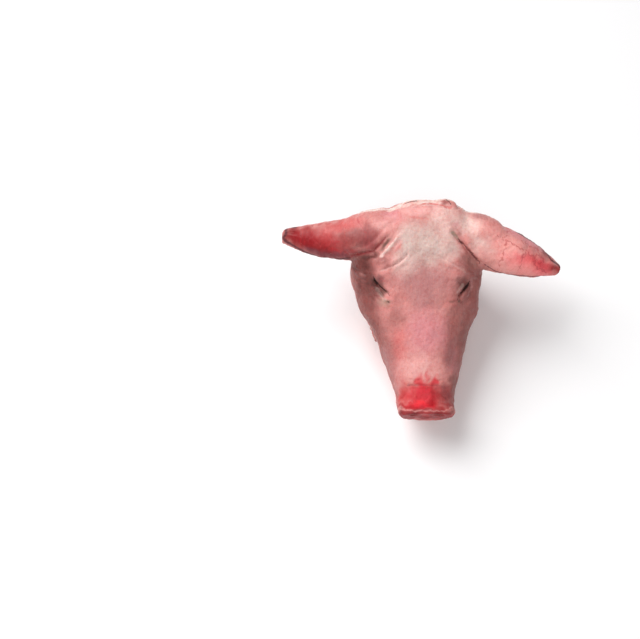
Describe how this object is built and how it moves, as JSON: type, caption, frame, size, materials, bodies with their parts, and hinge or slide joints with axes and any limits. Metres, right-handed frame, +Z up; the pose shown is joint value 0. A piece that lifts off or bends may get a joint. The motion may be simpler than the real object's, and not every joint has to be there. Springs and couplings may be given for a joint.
{
  "type": "frozen pig head",
  "caption": "Pale pink pig head with its ears on, cheeks trimmed to the muscle and neck cut open, lying on its jaw, for a butcher's display.",
  "frame": {"origin": "on the surface that the head lies on, under the middle of its box", "axes": "+Z up, the snout points along -Y and the cut neck along +Y, the ears spread along X"},
  "size_m": [0.3646, 0.2612, 0.1783],
  "materials": {
    "skin": "satin, moist pink skin with red patches",
    "muscle": "moist, greyish red under a silvery skin",
    "flesh": "moist cut flesh with pale fat"
  },
  "bodies": {
    "root": {"head": "skin", "cheek_muscle_left": "muscle", "cheek_muscle_right": "muscle", "neck_flesh": "flesh"}
  },
  "joints": []
}
